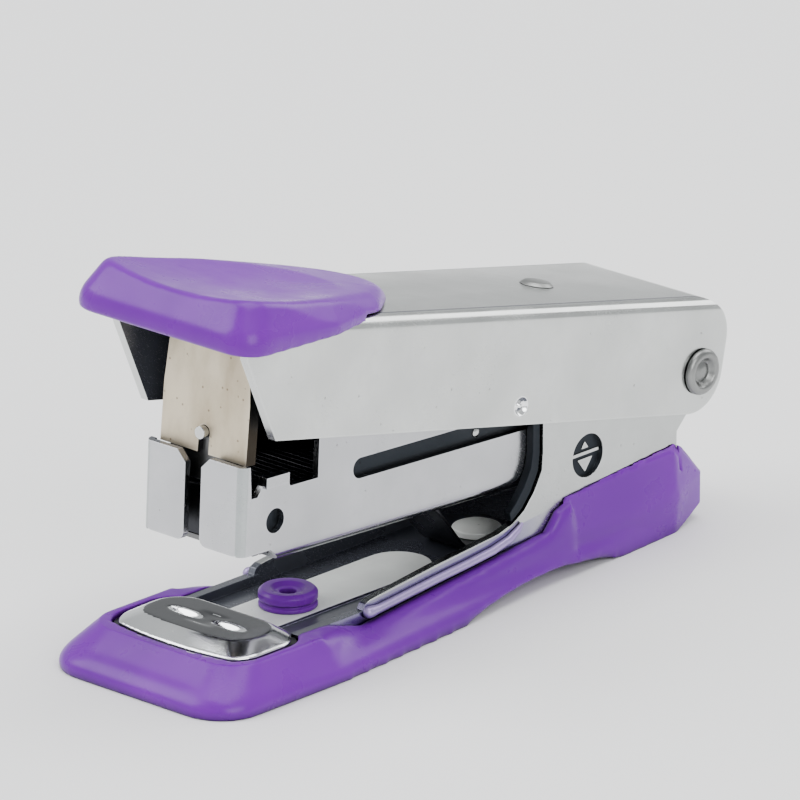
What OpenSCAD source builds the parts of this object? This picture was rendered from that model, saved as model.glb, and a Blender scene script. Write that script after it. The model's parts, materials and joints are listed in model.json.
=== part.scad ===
/* Pocket stapler for size 10 staples. The front faces -Y, +X is the right side, +Z is up.
   The origin is at the middle of the footprint, on the ground. */

/* [Base] */
// Length of the plastic base
base_len = 64.4; // [50:0.2:80]
// Width of the base across its front pad
base_front_w = 21.6; // [16:0.2:28]
// Width of the base at its rear end
base_rear_w = 15; // [14:0.2:22]
// Height of the front pad where it meets the anvil
pad_h = 3.6; // [3:0.1:5]
// Height of the low sides beside the steel frame
sill_h = 2; // [1.4:0.1:2.6]
// Height of the rear block
block_h = 8; // [6:0.1:10]
// Distance from the rear end at which the rear block starts
block_len = 21.4; // [12:0.2:28]
// Diameter of the round stud behind the anvil
stud_d = 5; // [3:0.1:7]
// Distance of the stud in front of the middle of the base
stud_front = 13.2; // [10:0.1:16]
// Height of the top of the stud
stud_top = 4.5; // [3.6:0.1:5]

/* [Steel frame] */
// Thickness of the frame and handle sheet
sheet = 0.75; // [0.5:0.05:1]
// Outer half width of the frame
frame_hw = 6.6; // [6:0.05:7]
// Height of the frame's floor
floor_z = 2.7; // [2.4:0.1:3.2]
// Distance of the front edge of the ears behind the middle of the base
ear_front = 10.9; // [8:0.1:16]
// Diameter of the round hole in each ear
ear_hole_d = 3.8; // [2:0.1:5]

/* [Pivot] */
// Distance of the pivot behind the middle of the base
pivot_y = 29.6; // [25:0.1:32]
// Height of the pivot
pivot_z = 14.15; // [12:0.05:18]
// Radius of the pivot pin
pin_r = 1.6; // [1:0.05:2]
// Running clearance around the pin
pin_clear = 0.07; // [0.02:0.01:0.1]
// Radius of the pin's heads
pin_head_r = 2; // [1.8:0.05:3]

/* [Magazine] */
// Upward tilt of the magazine at rest
mag_tilt = 3; // [0:0.5:6]
// Outer half width of the magazine
mag_hw = 5.6; // [5.2:0.05:5.8]
// Thickness of the magazine sheet
mag_sheet = 0.6; // [0.4:0.05:0.7]
// Length from the pivot to the front of the magazine
mag_len = 54.1; // [45:0.1:60]
// Depth of the magazine's floor under the pivot
mag_floor = 6.9; // [6:0.1:8]
// Depth of the front flaps' lower ends under the pivot
flap_low = 5.5; // [5:0.1:7]
// Height of the front flaps' tops over the pivot
flap_top = 2.15; // [1:0.05:3]
// Height of the tall side walls over the pivot
wall_top = 3.6; // [2:0.1:4]
// Width of the gap between the front flaps
flap_gap = 1.8; // [1:0.1:3]
// Length of the staple strip
strip_len = 16; // [5:0.5:20]
// Number of staples in the strip
strip_count = 20; // [10:1:32]

/* [Handle] */
// Upward tilt of the handle at rest
handle_tilt = 12.2; // [8:0.2:16]
// Outer half width of the handle
handle_hw = 7.6; // [7.5:0.05:8]
// Height of the handle's top over the pivot
handle_top = 6.3; // [5.5:0.1:7]
// Depth of the handle's lower edges under the pivot
handle_low = 3.7; // [3:0.1:5]
// Length from the pivot to the front of the cap
cap_front = 60.6; // [56:0.1:66]
// Length of the cap
cap_len = 25.4; // [18:0.1:30]
// Width of the cap at its front
cap_w = 20.4; // [17:0.2:24]
// Half width of the driver plate
plate_hw = 4.85; // [4:0.05:4.9]
// Backward lean of the driver plate against the magazine
plate_lean = 3; // [0:0.5:4]

/* [Hidden] */
$fn = 48;
hull_fn = 32;
eps = 0.01;
front_y = -base_len / 2;
rear_y = base_len / 2;
block_y = rear_y - block_len;
frame_in = frame_hw - sheet;
handle_in = handle_hw - 0.8;
mag_in = mag_hw - mag_sheet;
mag_floor_top = mag_floor - mag_sheet;
// the base's middle lies in front of the middle of the whole
base_mid = -0.4;
anvil_y = -23.15;
anvil_hw = 7.6;
plate_rear = -18.9;
frame_rear = rear_y - 4.4;
arch_y = 9.4;
arch_h = 1.25;
panel_h = 0.24;
panel_hw = 2.9;
panel_len = 18.6;
rivet_y = 9.9;
anvil_len = 8.8;
hole_r = pin_r + pin_clear;
strip_front = mag_len - mag_sheet - 2.1;
core_hw = 3.7;
core_wall = 0.6;
core_top = -1.5;
staple_hw = 4.45;
wire = 0.5;
strip_pitch = strip_len / strip_count;
follower_front = strip_front - strip_len - 0.1;
follower_len = 6.4;
tongue_len = 2;
rear_stop_y = 11;
rod_z = -3.7;
rod_r = 0.6;
coil_r = 1.35;
coil_wire_r = 0.18;
coil_turns = 16;
coil_steps = 16;
coil_sides = 8;
coil_front = follower_front - tongue_len - 0.05;
coil_len = coil_front - rear_stop_y - 0.05;
plate_low = 2;
plate_h = 12.5;
plate_y = -(mag_len - mag_sheet - 0.5);
blade_tip = -0.5;
bridge_y = 22;

color_plastic = [0.42, 0.2, 0.68];
color_chrome = [0.8, 0.81, 0.83];
color_steel = [0.62, 0.62, 0.63];
color_dark = [0.2, 0.2, 0.22];
color_cream = [0.82, 0.77, 0.68];

// ---- shared shapes ----

function arc(c, r, a0, a1, n) = [for (i = [0:n]) let (a = a0 + (a1 - a0) * i / n) c + r * [cos(a), sin(a)]];

module in_base() {
  translate([0, base_mid, 0]) children();
}

module in_magazine() {
  translate([0, base_mid + pivot_y, pivot_z]) rotate([-mag_tilt, 0, 0]) children();
}

module in_handle() {
  translate([0, base_mid + pivot_y, pivot_z]) rotate([-handle_tilt, 0, 0]) children();
}

// A side view drawn as (y, z), given a width along X
module across(x0, width) {
  translate([x0, 0, 0]) rotate([90, 0, 90]) linear_extrude(width) children();
}

// A front view drawn as (x, z), given a length along Y
module along(y0, length) {
  translate([0, y0 + length, 0]) rotate([90, 0, 0]) linear_extrude(length) children();
}

module both_sides() {
  children();
  mirror([1, 0, 0]) children();
}

module round_rect(hw, low, high, r) {
  translate([-hw, low + r]) square([2 * hw, high - low - 2 * r]);
  translate([-hw + r, low]) square([2 * (hw - r), high - low]);
  for (x = [-hw + r, hw - r], y = [low + r, high - r]) translate([x, y]) circle(r);
}

module slot_shape(y0, y1, r) {
  translate([y0, -r]) square([y1 - y0, 2 * r]);
  for (y = [y0, y1]) translate([y, 0]) circle(r);
}

module cross_hole(y, z, r, reach = 12) {
  translate([-reach, y, z]) rotate([0, 90, 0]) cylinder(r = r, h = 2 * reach);
}

module corner(x, y, z, r, h) {
  translate([x, y, z]) cylinder(r = r, h = h, $fn = hull_fn);
}

// ---- base ----

// Lower body: full outline at the ground, drawn in at the sill
module base_body() {
  hull() both_sides() {
    corner(base_front_w / 2 - 4.4, front_y + 4.4, 0, 4.4, 0.9);
    corner(base_front_w / 2 - 2.4, front_y + 14, 0, 2.4, 0.9);
    corner(base_rear_w / 2 - 2, rear_y - 5, 0, 1.4, 0.9);
    corner(base_front_w / 2 - 5, front_y + 5.2, 0, 4, sill_h);
    corner(base_rear_w / 2 - 2, rear_y - 5.4, 0, 1.4, sill_h);
  }
}

// Sloping shoulders around the anvil
module base_pad() {
  hull() both_sides() {
    corner(base_front_w / 2 - 4.6, front_y + 4.8, 0.8, 4.2, 0.6);
    corner(base_front_w / 2 - 3, front_y + 14, 0.8, 2.4, 0.6);
    corner(6.6, -18, 0.8, 2, pad_h - 0.8);
    corner(5.4, front_y + 6.8, 0.8, 3.2, pad_h - 0.8);
    corner(4.6, front_y + 21, 0.8, 3, 0.8);
  }
}

// Low sides that rise gently towards the rear
module base_sills() {
  hull() both_sides() {
    corner(base_rear_w / 2 + 0.1, -15, 0.5, 1, sill_h - 0.5);
    corner(base_rear_w / 2 - 0.7, 7, 0.5, 1, sill_h + 1.6);
    corner(base_rear_w / 2 - 0.9, 13, 0.5, 1, sill_h + 2.1);
  }
}

// Tall rear block, widest along a low line, with a chamfered tail that rises off the ground
module base_block() {
  w = base_rear_w / 2;
  intersection() {
    hull() both_sides() {
      corner(w - 2, rear_y - 5, 0, 1.4, 0.5);
      corner(w - 1.2, rear_y - 5.4, 3.1, 1.2, 0.6);
      corner(w - 2.6, rear_y - 1.2, 1.4, 1.2, 2.7);
      corner(w - 2, rear_y - 5, 0.5, 1.2, block_h - 0.5);
      corner(w - 1.2, block_y + 3, 3.1, 1.2, 0.6);
      corner(w - 2, block_y + 3, 0, 1.4, block_h - 1.2);
    }
    across(-base_front_w, 2 * base_front_w)
      polygon([[block_y, -1], [rear_y + 1, -1], [rear_y + 1, 3.2], [rear_y - 3.5, 7.3], [rear_y - 4.8, block_h],
               [block_y, block_h]]);
  }
}

// Concave scoop where the low sides rise into the rear block
module base_scoop() {
  difference() {
    across(-base_rear_w / 2 - 0.2, base_rear_w + 0.4)
      polygon([[block_y - 6, 0.5], [block_y + 3, 0.5], [block_y + 3, block_h - 1.4],
               [block_y + 1.2, block_h - 2], [block_y - 6, sill_h]]);
    translate([-20, block_y - 6.4, sill_h + 9.4]) rotate([0, 90, 0]) cylinder(r = 9.4, h = 40, $fn = 96);
  }
}

module base_cover() {
  color(color_plastic) in_base() difference() {
    union() {
      base_body();
      base_pad();
      base_sills();
      base_block();
      base_scoop();
    }
    // bed for the steel frame
    translate([-frame_hw - 0.05, plate_rear - 0.3, floor_z - sheet])
      cube([2 * frame_hw + 0.1, frame_rear - plate_rear + 0.5, 12]);
    // bed for the anvil
    translate([0, 0, floor_z - sheet]) linear_extrude(6) anvil_shape(0.35);
    // hollow underside with a cross rib
    for (y = [-25, -14])
      translate([-5.5, y, -eps]) cube([11, 9, 0.9]);
    // arch under the rear half
    translate([-20, arch_y, arch_h - 43]) rotate([0, 90, 0]) cylinder(r = 43, h = 40, $fn = 240);
  }
}

module cover_stud() {
  crown = stud_top - floor_z + sheet;
  color(color_plastic) in_base() translate([0, -stud_front, floor_z - sheet]) rotate_extrude() difference() {
    union() {
      translate([0.7, 0]) square([stud_d / 2 - 1.6, sheet + 0.4]);
      translate([0.7, sheet + panel_h]) square([stud_d / 2 - 0.7, crown - sheet - panel_h - 0.3]);
      translate([0.7, crown - 0.3]) square([stud_d / 2 - 1, 0.3]);
      translate([stud_d / 2 - 0.3, crown - 0.3]) circle(0.3);
    }
    // groove around the waist
    translate([stud_d / 2, 1.5]) circle(0.22);
    // dish around the centre hole
    translate([0, crown - 0.3]) square([1.1, 1]);
  }
}

module bracket_side() {
  y = ear_front;
  difference() {
    union() {
      polygon([[-10.3, floor_z - sheet], [-11.3, 3.2], [-10.9, 4], [-10.3, 4.25], [-2.4, 5.1], [5.4, 5.75],
               [7.2, 6.2], [8.6, 7], [9.8, 8.3], [y - 0.15, 10], [y, 11.5], [y, 16.6], [y + 1, 17.6],
               [pivot_y - 4, pivot_z + 4.2], [pivot_y, pivot_z + 3.4], [pivot_y + 3.4, pivot_z],
               [frame_rear, 9], [frame_rear, floor_z - sheet]]);
      translate([pivot_y, pivot_z]) circle(3.4);
    }
    translate([16.5, 9.8]) circle(ear_hole_d / 2);
    translate([pivot_y, pivot_z]) circle(pin_r + 0.02);
  }
}

module base_bracket() {
  color(color_chrome) in_base() difference() {
    union() {
      translate([-frame_hw, plate_rear, floor_z - sheet])
        cube([2 * frame_hw, frame_rear - plate_rear, sheet]);
      both_sides() across(frame_in, sheet) bracket_side();
      // raised edges ahead of the flanges
      both_sides() translate([frame_hw - 0.9, plate_rear, floor_z - eps]) cube([0.9, 8.4, 0.8]);
      // embossed panel with a round rear end
      translate([0, 0, floor_z - eps]) linear_extrude(panel_h + eps) union() {
        translate([-panel_hw, plate_rear + 0.4]) square([2 * panel_hw, panel_len]);
        translate([0, plate_rear + 0.4 + panel_len]) circle(panel_hw);
      }
    }
    translate([0, -stud_front, 0]) cylinder(r = stud_d / 2 - 0.85, h = 6);
    translate([0, rivet_y, 0]) cylinder(r = 1.02, h = 6);
  }
}

module anvil_shape(grow) {
  r = min(3.2, anvil_len / 2 + grow - 0.1);
  intersection() {
    translate([0, anvil_y]) round_rect(anvil_hw + grow, -anvil_len / 2 - grow, anvil_len / 2 + grow, r);
    translate([0, anvil_y - anvil_len / 2 - grow + 30]) circle(30, $fn = 180);
  }
}

module anvil_seat() {
  color(color_dark) in_base() translate([0, 0, floor_z + 0.02]) linear_extrude(0.5) difference() {
    anvil_shape(0.25);
    translate([-frame_hw - 1, plate_rear - 0.02]) square([2 * frame_hw + 2, 6]);
  }
}

module anvil_plate() {
  z = floor_z + 0.54;
  color(color_chrome) in_base() difference() {
    hull() {
      translate([0, 0, z]) linear_extrude(0.35) anvil_shape(-0.05, $fn = hull_fn);
      translate([0, 0.35, z]) linear_extrude(1.15) anvil_shape(-1.5, $fn = hull_fn);
    }
    // two clinching pockets, deepest where the legs land
    both_sides() translate([2.35, anvil_y + 0.3, z + 1.15 + 3.4]) scale([1, 0.24, 1]) sphere(r = 3.95);
    // shallow band across the middle
    along(anvil_y - 0.9, 2.4) translate([0, z + 1.15 + 14.9]) circle(15, $fn = 120);
  }
}

// ---- leaf springs ----

function ramp(t) = t * t * (3 - 2 * t);

// Strip that leaves (y0, z0) level and arrives at (y1, z1) level, drawn as (y, z)
module leaf_shape(y0, z0, y1, z1, tail, tip, thick) {
  path = concat([[y0 + tail, z0]],
                [for (i = [0:12]) [y0 + (y1 - y0) * i / 12, z0 + (z1 - z0) * ramp(i / 12)]],
                [[y1 - tip, z1]]);
  n = len(path);
  polygon(concat(path, [for (i = [n - 1:-1:0]) path[i] + [0, thick]]));
}

module return_spring() {
  color(color_dark) in_base() difference() {
    across(-2.6, 5.2) leaf_shape(7, floor_z + 0.02, 0.8, 8.2, 6.6, 1.6, 0.4);
    translate([0, rivet_y, 0]) cylinder(r = 1.02, h = 6);
  }
}

module spring_rivet() {
  color(color_chrome) in_base() translate([0, rivet_y, floor_z - sheet]) {
    cylinder(r = 1, h = sheet + 0.5);
    translate([0, 0, sheet + 0.44]) cylinder(r1 = 2.2, r2 = 2.1, h = 0.5);
    translate([0, 0, sheet + 0.94]) cylinder(r1 = 2.1, r2 = 1.1, h = 0.4);
  }
}

// ---- pivot ----

module pivot_pin() {
  x = handle_hw + 0.08;
  color(color_steel) in_base() translate([-x - 0.55, pivot_y, pivot_z]) rotate([0, 90, 0]) difference() {
    union() {
      cylinder(r = pin_r, h = 2 * x + 1.1);
      cylinder(r1 = pin_head_r - 0.3, r2 = pin_head_r, h = 0.3);
      translate([0, 0, 0.3]) cylinder(r = pin_head_r, h = 0.25);
      translate([0, 0, 2 * x + 0.55]) cylinder(r = pin_head_r, h = 0.25);
      translate([0, 0, 2 * x + 0.8]) cylinder(r1 = pin_head_r, r2 = pin_head_r - 0.3, h = 0.3);
    }
    for (z = [-eps, 2 * x + 0.6 + eps]) translate([0, 0, z]) cylinder(r = pin_r - 0.3, h = 0.5);
    translate([0, 0, -1]) cylinder(r = 0.75, h = 2 * x + 4);
  }
}

module pivot_spacer() {
  color(color_steel) in_base() translate([-mag_in + 0.1, pivot_y, pivot_z]) rotate([0, 90, 0]) difference() {
    cylinder(r = 2.5, h = 2 * mag_in - 0.2);
    translate([0, 0, -1]) cylinder(r = pin_r + 0.01, h = 2 * mag_in + 2);
  }
}

// ---- magazine ----

module magazine_side() {
  f = -mag_len;
  polygon([[f, -flap_low], [f + 3.6, -flap_low], [f + 5.4, -mag_floor], [-6.4, -mag_floor], [-4.4, -3.2],
           [-2.2, -2.5], [3.1, 0], [2.2, 2.2], [0, wall_top], [f + 9, wall_top], [f + 9, -0.4],
           [f + 5.7, -0.4], [f + 5.4, 0.2], [f + 2.4, 0.2], [f + 1.8, -0.6], [f + 1.1, -0.6], [f + 0.9, flap_top],
           [f, flap_top]]);
  circle(3.2);
}

// Trough with rounded lower bends, drawn as (x, z)
module trough() {
  r = 1.5;
  difference() {
    union() {
      translate([-mag_hw, -mag_floor + r]) square([2 * mag_hw, 14]);
      translate([-mag_hw + r, -mag_floor]) square([2 * (mag_hw - r), r + 1]);
      both_sides() translate([mag_hw - r, -mag_floor + r]) circle(r);
    }
    translate([-mag_in, -mag_floor + r]) square([2 * mag_in, 16]);
    translate([-mag_hw + r, -mag_floor_top]) square([2 * (mag_hw - r), 3]);
    both_sides() translate([mag_hw - r, -mag_floor + r]) circle(r - mag_sheet);
  }
}

// One front flap, drawn as (x, z)
module flap_shape() {
  difference() {
    translate([flap_gap / 2, -flap_low]) square([mag_hw - flap_gap / 2, flap_low + flap_top]);
    translate([flap_gap / 2, flap_top]) rotate(45) square(1.3, center = true);
    translate([mag_hw - 1.1, -flap_low]) difference() {
      square([1.2, 1.1]);
      translate([0, 1.1]) circle(1.1);
    }
    translate([flap_gap / 2 - 0.1, -flap_low - 0.1]) difference() {
      square([0.8, 0.8]);
      translate([0.8, 0.8]) circle(0.7);
    }
  }
}

module magazine() {
  f = -mag_len;
  color(color_chrome) in_magazine() difference() {
    union() {
      intersection() {
        across(-mag_hw, 2 * mag_hw) magazine_side();
        along(f, mag_len + 5) trough();
        translate([0, 0, -20]) linear_extrude(40) round_rect(mag_hw, f, 5, 0.8);
      }
      intersection() {
        both_sides() along(f, mag_sheet) flap_shape();
        translate([0, 0, -20]) linear_extrude(40) round_rect(mag_hw, f, 5, 0.8);
      }
      // small tabs bent out of the low front walls
      both_sides() translate([mag_hw - mag_sheet, f + 2.5, 0]) cube([mag_sheet + 0.35, 2.7, 0.95]);
    }
    cross_hole(f + 4, -3.05, 1.05);
    cross_hole(0, 0, hole_r);
    // long slots beside the follower
    across(-8, 16) translate([0, -0.65]) slot_shape(f + 14.1, -17, 0.88);
  }
}

module magazine_bridge() {
  color(color_steel) in_magazine() difference() {
    translate([-mag_in + 0.02, -bridge_y - 2, wall_top - 0.9]) cube([2 * mag_in - 0.04, 4, 0.6]);
    translate([0, -bridge_y, 0]) cylinder(r = 0.6, h = 9);
  }
}

module staple_core() {
  color(color_steel) in_magazine() difference() {
    translate([-core_hw, -strip_front, -mag_floor_top + 0.02])
      cube([2 * core_hw, strip_front - rear_stop_y + 3, mag_floor_top + core_top - 0.02]);
    translate([-core_hw + core_wall, -strip_front - 1, -mag_floor_top + 0.52])
      cube([2 * (core_hw - core_wall), strip_front, 8]);
  }
}

module core_nose() {
  color(color_dark) in_magazine() difference() {
    translate([-core_hw + core_wall + 0.02, -strip_front, -mag_floor_top + 0.54])
      cube([2 * (core_hw - core_wall) - 0.04, 1.6, mag_floor_top + core_top - 0.54]);
    translate([0, -strip_front - 1, rod_z]) rotate([-90, 0, 0]) cylinder(r = rod_r + 0.01, h = 4);
  }
}

module rear_stop() {
  color(color_steel) in_magazine() difference() {
    translate([-core_hw + core_wall + 0.02, -rear_stop_y, -mag_floor_top + 0.54])
      cube([2 * (core_hw - core_wall) - 0.04, 1, mag_floor_top - 1.9]);
    translate([0, -rear_stop_y - 1, rod_z]) rotate([-90, 0, 0]) cylinder(r = rod_r + 0.01, h = 4);
  }
}

module follower_rod() {
  color(color_steel) in_magazine() translate([0, -strip_front + 0.2, rod_z]) rotate([-90, 0, 0])
    cylinder(r = rod_r, h = strip_front - rear_stop_y + 2.2);
}

module rod_nut() {
  color(color_chrome) in_magazine() translate([0, -rear_stop_y + 1.02, rod_z]) rotate([-90, 0, 0]) difference() {
    cylinder(r = 1.3, h = 0.8, $fn = 6);
    translate([0, 0, -1]) cylinder(r = rod_r + 0.01, h = 3);
  }
}

// Staple seen from the front, drawn as (x, z)
module staple_shape() {
  low = -mag_floor_top + 0.12;
  high = core_top + wire + 0.12;
  difference() {
    translate([-staple_hw, low]) square([2 * staple_hw, high - low]);
    translate([-staple_hw + wire, low - 1]) square([2 * (staple_hw - wire), high - low + 1 - wire]);
    both_sides() translate([staple_hw, high]) rotate(45) square(0.28, center = true);
  }
}

module staple_strip() {
  color(color_steel) in_magazine() {
    for (i = [0:strip_count - 1])
      along(-strip_front + 0.02 + i * strip_pitch, strip_pitch * 0.82) staple_shape();
    // thin band that holds the strip together
    translate([-3.4, -strip_front + 0.03, core_top + 0.24]) cube([6.8, strip_len - 0.3, 0.2]);
  }
}

module follower() {
  f = -follower_front;
  color(color_dark) in_magazine() difference() {
    union() {
      difference() {
        translate([-staple_hw - 0.1, f, -mag_floor_top + 0.5])
          cube([2 * staple_hw + 0.2, follower_len, mag_floor_top - 0.7]);
        translate([-core_hw - 0.12, f - 1, -mag_floor_top - 1])
          cube([2 * core_hw + 0.24, follower_len + 2, mag_floor_top + core_top + 1.12]);
      }
      translate([-core_hw + core_wall + 0.15, f, -mag_floor_top + 0.8])
        cube([2 * (core_hw - core_wall) - 0.3, tongue_len, mag_floor_top - 1.6]);
    }
    translate([0, f - 1, rod_z]) rotate([-90, 0, 0]) cylinder(r = rod_r + 0.08, h = tongue_len + 2);
    // finger notch at the rear of the top
    translate([0, f + follower_len, -0.8]) cylinder(r = 1.6, h = 3);
  }
}

function coil_at(i) = let (a = 360 * i / coil_steps, d = coil_len * i / (coil_steps * coil_turns))
  [coil_r * cos(a), -coil_front + coil_wire_r + d * (coil_len - 2 * coil_wire_r) / coil_len,
   rod_z + coil_r * sin(a)];

function coil_ring(i) = let (a = 360 * i / coil_steps)
  [for (k = [0:coil_sides - 1]) let (b = 360 * k / coil_sides)
    coil_at(i) + [coil_wire_r * cos(b) * cos(a), coil_wire_r * sin(b), coil_wire_r * cos(b) * sin(a)]];

module follower_spring() {
  last = coil_steps * coil_turns;
  m = coil_sides;
  points = [for (i = [0:last]) each coil_ring(i)];
  walls = [for (i = [0:last - 1], k = [0:m - 1])
    [i * m + k, i * m + (k + 1) % m, (i + 1) * m + (k + 1) % m, (i + 1) * m + k]];
  color(color_steel) in_magazine()
    polyhedron(points, concat([[for (k = [m - 1:-1:0]) k]], walls, [[for (k = [0:m - 1]) last * m + k]]));
}

// ---- handle ----

// The top edge stands over the bends' outline, which trims it
module handle_side() {
  r = 3.6;
  polygon(concat(
    [[-52.6, -handle_low], [-57.4, 3.1], [-57.9, handle_top - 1.5], [-57.9, handle_top + 1], [-0.8, handle_top + 1]],
    arc([-0.8, handle_top - r], r, 90, 0, 14),
    arc([-0.8, -handle_low + r], r, 0, -90, 14)));
}

// Outline with rounded upper corners, drawn as (x, z)
module bend_outline(hw, low, top, r) {
  polygon(concat([[hw, low]], arc([hw - r, top - r], r, 0, 90, 8),
                 arc([-hw + r, top - r], r, 90, 180, 8), [[-hw, low]]));
}

module handle() {
  color(color_chrome) in_handle() difference() {
    intersection() {
      across(-handle_hw - 1, 2 * handle_hw + 2) handle_side();
      along(-60, 70) bend_outline(handle_hw, -handle_low - 1, handle_top, 1.3);
    }
    along(-61, 72) bend_outline(handle_in, -handle_low - 2, handle_top - 0.8, 0.5);
    cross_hole(0, 0, hole_r);
    // small round dimples low on the sides
    both_sides() translate([handle_hw - 0.35, -22.6, -2.1]) rotate([0, 90, 0]) cylinder(r = 0.9, h = 2);
    // rivet holes in the top
    translate([0, -14, 0]) cylinder(r = 0.92, h = 9);
    both_sides() translate([2.2, -51, 0]) cylinder(r = 0.92, h = 9);
  }
}

// Outline of the cap as short posts: lower rim and drawn-in crown
module cap_posts(inset, z_front, z_rear, h) {
  hw = cap_w / 2;
  r = 2.6 - inset / 3;
  both_sides() {
    corner(hw - inset - r, -cap_front + inset + r, z_front, r, h);
    corner(hw * 0.92 - inset - r, -cap_front + cap_len * 0.45, (z_front + z_rear) / 2, r, h);
    corner(hw * 0.7 - inset * 0.9 - 3, -cap_front + cap_len * 0.72, z_rear, 3, h);
  }
  corner(0, -cap_front + cap_len - 5 - inset * 0.8, z_rear, 5, h);
}

module handle_cap() {
  color(color_plastic) in_handle() difference() {
    hull() {
      cap_posts(0, 3.8, 5, 1.6);
      cap_posts(1.4, 7.2, 6.6, 1.1);
    }
    // bed for the handle
    translate([-handle_hw - 0.04, -58, -2]) cube([2 * handle_hw + 0.08, 40, handle_top + 2.02]);
    // rising lower rim
    across(-20, 40) polygon([[-64, 3.4], [-cap_front + 3, 4], [-50, 5], [-41, 6], [-30, 6.3], [-30, 2], [-64, 1]]);
    // long shallow dish in the top
    translate([0, -cap_front + cap_len * 0.42, 7.4 + 43]) rotate([2.2, 0, 0])
      scale([1, 1.55, 1]) sphere(r = 43, $fn = 120);
  }
}

module cap_clip() {
  color(color_dark) in_handle() translate([-3, -57.8, 4.4]) cube([6, 2.6, handle_top - 0.8 - 4.42]);
}

// Driver plate seen from the front, drawn as (x, z)
module plate_shape() {
  difference() {
    polygon([[-plate_hw, plate_low], [plate_hw, plate_low], [plate_hw, plate_low + 5],
             [plate_hw - 0.6, plate_low + plate_h], [-plate_hw + 0.6, plate_low + plate_h],
             [-plate_hw, plate_low + 5]]);
    translate([-0.6, plate_low - 1]) square([1.2, 2.8]);
    translate([0, plate_low + 1.8]) circle(0.6);
  }
}

module lean_plate() {
  translate([0, plate_y, plate_low]) rotate([-plate_lean, 0, 0]) translate([0, -plate_y, -plate_low]) children();
}

module driver_plate() {
  color(color_cream) difference() {
    union() {
      in_magazine() lean_plate() {
        along(plate_y, 0.5) plate_shape();
        // short wings along the edges, deeper at the top
        both_sides() intersection() {
          across(plate_hw - 1.2, 1.2)
            polygon([[plate_y, plate_low], [plate_y + 1.1, plate_low], [plate_y + 1.1, plate_low + 7],
                     [plate_y + 2.6, plate_low + 9], [plate_y + 2.6, plate_low + plate_h],
                     [plate_y, plate_low + plate_h]]);
          along(plate_y, 4) difference() {
            plate_shape();
            translate([-plate_hw + 0.5, 0]) square([2 * plate_hw - 1, plate_low + 5]);
            polygon([[-plate_hw + 0.5, plate_low + 5], [plate_hw - 0.5, plate_low + 5],
                     [plate_hw - 1.1, 30], [-plate_hw + 1.1, 30]]);
          }
        }
      }
      in_handle() translate([-4, -54, handle_top - 1.4]) cube([8, 5.6, 0.57]);
    }
    in_handle() both_sides() translate([2.2, -51, 0]) cylinder(r = 0.92, h = 9);
    in_handle() translate([-10, -61, handle_top - 0.82]) cube([20, 20, 10]);
  }
}

module driver_blade() {
  color(color_steel) in_magazine() lean_plate()
    translate([-4.2, plate_y + 0.52, blade_tip]) cube([8.4, 0.45, 8.4]);
}

module driver_stud() {
  color(color_chrome) in_magazine() lean_plate() translate([0, plate_y - 0.62, plate_low + 1.8])
    rotate([-90, 0, 0]) {
      cylinder(r = 0.55, h = 1.14);
      cylinder(r1 = 0.35, r2 = 0.55, h = 0.2);
    }
}

module driver_rivets() {
  color(color_chrome) in_handle() both_sides() translate([2.2, -51, handle_top - 1.9]) {
    cylinder(r = 0.9, h = 1.88);
    cylinder(r = 1.3, h = 0.48);
  }
}

module handle_spring() {
  color(color_dark) in_handle() difference() {
    across(-2.8, 5.6) leaf_shape(-15.4, handle_top - 1.15, -21.6, 0.1, 4.4, 1.8, 0.32);
    translate([0, -14, 0]) cylinder(r = 0.92, h = 9);
  }
}

module handle_spring_rivet() {
  color(color_chrome) in_handle() translate([0, -14, handle_top - 1.7]) {
    cylinder(r = 0.9, h = 1.9);
    cylinder(r = 1.4, h = 0.5);
    translate([0, 0, 1.72]) cylinder(r1 = 1.5, r2 = 1.1, h = 0.3);
  }
}

base_cover();
cover_stud();
base_bracket();
anvil_seat();
anvil_plate();
return_spring();
spring_rivet();
pivot_pin();
pivot_spacer();
magazine();
magazine_bridge();
staple_core();
core_nose();
rear_stop();
follower_rod();
rod_nut();
staple_strip();
follower();
follower_spring();
handle();
handle_cap();
cap_clip();
driver_plate();
driver_blade();
driver_stud();
driver_rivets();
handle_spring();
handle_spring_rivet();
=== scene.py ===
import json
import math

import bmesh
import bpy
import numpy as np
from mathutils import Matrix, Vector
from mathutils.bvhtree import BVHTree
from mathutils.kdtree import KDTree

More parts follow.
